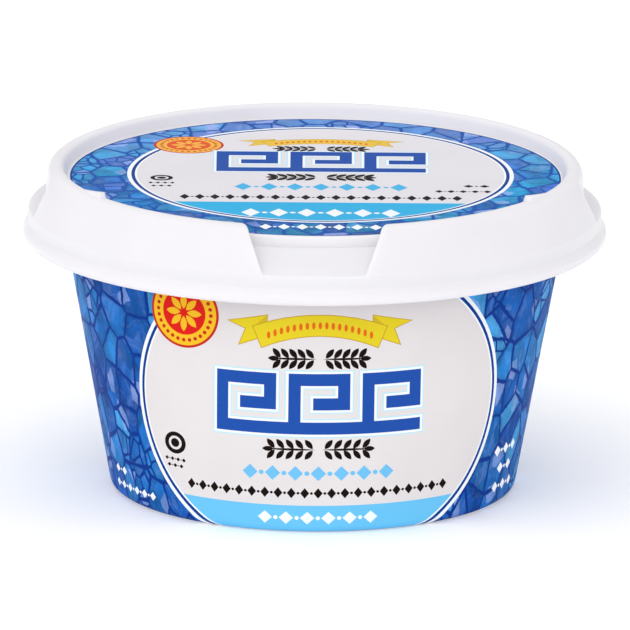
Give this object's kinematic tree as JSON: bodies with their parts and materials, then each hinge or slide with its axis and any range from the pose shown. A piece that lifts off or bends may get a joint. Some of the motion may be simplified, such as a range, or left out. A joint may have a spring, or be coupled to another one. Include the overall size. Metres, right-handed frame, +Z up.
{
  "type": "shut plastic tub of crumbled feta cheese",
  "caption": "Shut round plastic tub of crumbled cheese: a flared tub under a wide press-on lid with a sunk panel, a front ramp and a thumb notch.",
  "frame": {"origin": "middle of the foot ring, on the surface that the tub stands on", "axes": "+Z up out of the lid, -Y towards the lid's thumb notch and the middle of the print, +X to the right of them"},
  "size_m": [0.118, 0.118, 0.0675],
  "materials": {
    "lid_plastic": "moulded white polypropylene with a satin gloss, and an in-mould print on the sunk panel",
    "tub_plastic": "moulded white polypropylene with a glossy in-mould print round the wall: blue mosaic round a pale field"
  },
  "bodies": {
    "root": {"lid": "lid_plastic", "tub": "tub_plastic"}
  },
  "joints": []
}
